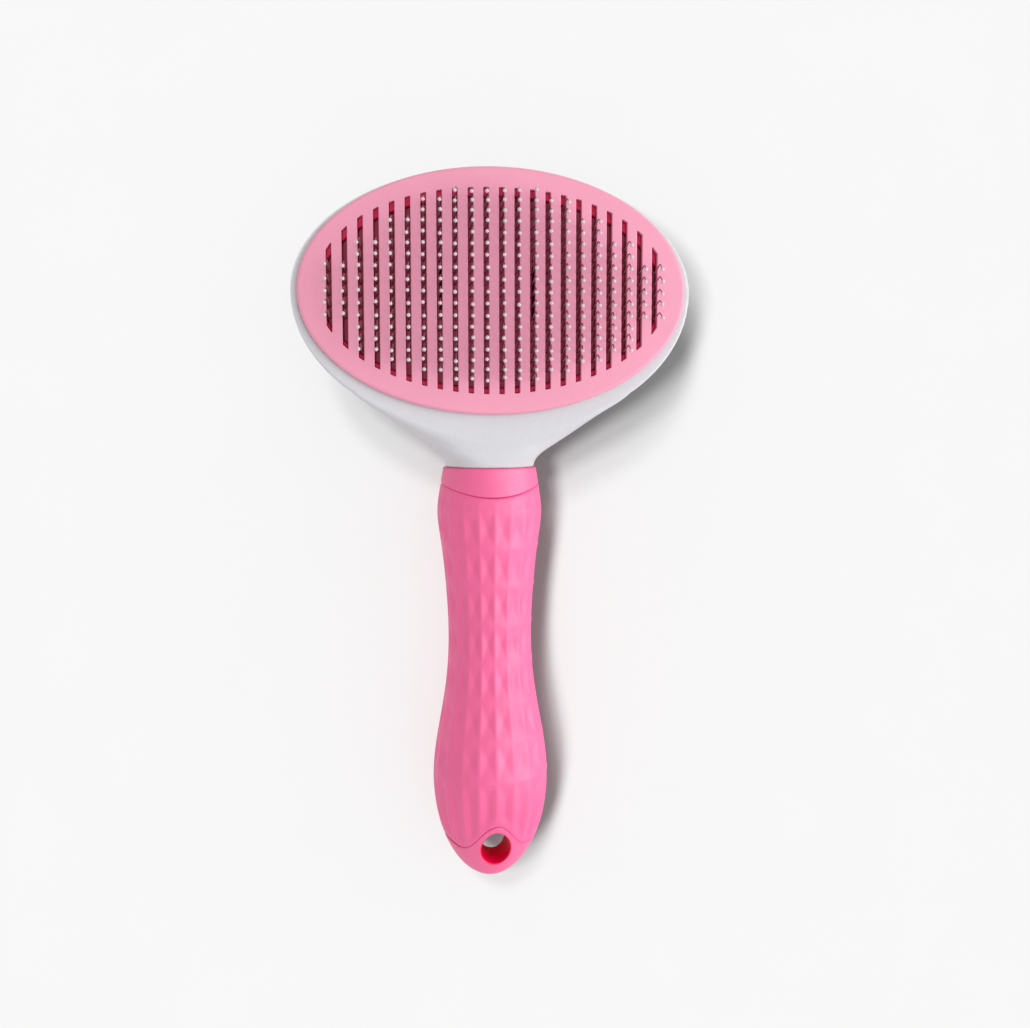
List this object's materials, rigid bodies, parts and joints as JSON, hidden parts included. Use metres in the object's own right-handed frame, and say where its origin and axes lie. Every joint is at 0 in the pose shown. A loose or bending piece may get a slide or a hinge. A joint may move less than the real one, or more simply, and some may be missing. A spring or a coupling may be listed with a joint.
{
  "type": "slicker brush",
  "caption": "Oval slicker brush with bent wire pins through a slotted faceplate, a spring-return push button that lifts the plate to shed hair, and a soft faceted grip.",
  "frame": {"origin": "on the resting plane, under the middle of the outline, with the brush on its back", "axes": "+Z the way the pins point, +Y along the handle towards the head, +X across the head to the right seen from the pins"},
  "size_m": [0.1052, 0.1944, 0.043],
  "materials": {
    "shell_white": "moulded, satin gloss",
    "plate_pink": "moulded, satin gloss",
    "button_pink": "moulded, satin gloss",
    "core_pink": "moulded, fine matte",
    "grip_pink": "soft touch, faceted",
    "tray_red": "moulded",
    "pad_rubber": "matte",
    "pin_wire": "drawn wire",
    "tip_white": "dipped bead",
    "spring_steel": "wound wire",
    "screw_steel": "zinc plated"
  },
  "bodies": {
    "brush": {"head_shell": "shell_white", "button_bezel": "shell_white", "pin_tray": "tray_red", "pin_pad": "pad_rubber", "staple_row_01": "pin_wire", "staple_row_02": "pin_wire", "staple_row_03": "pin_wire", "staple_row_04": "pin_wire", "staple_row_05": "pin_wire", "staple_row_06": "pin_wire", "staple_row_07": "pin_wire", "staple_row_08": "pin_wire", "staple_row_09": "pin_wire", "staple_row_10": "pin_wire", "staple_row_11": "pin_wire", "tip_row_01": "tip_white", "tip_row_02": "tip_white", "tip_row_03": "tip_white", "tip_row_04": "tip_white", "tip_row_05": "tip_white", "tip_row_06": "tip_white", "tip_row_07": "tip_white", "tip_row_08": "tip_white", "tip_row_09": "tip_white", "tip_row_10": "tip_white", "tip_row_11": "tip_white", "return_spring_front": "spring_steel", "return_spring_rear": "spring_steel", "tray_screws": "screw_steel", "neck_screw": "screw_steel", "handle_core": "core_pink", "grip_sleeve": "grip_pink"},
    "ejector": {"faceplate": "plate_pink", "push_frame": "tray_red", "thumb_button": "button_pink", "button_screws": "screw_steel"}
  },
  "joints": [
    {"name": "plate_push", "type": "slide", "parent": "brush", "child": "ejector", "axis": [0, 0, 1], "range_m": [0, 0.009], "stiffness_N_per_m": 600, "springref_m": -0.006, "deforming": ["return_spring_front", "return_spring_rear"]}
  ]
}
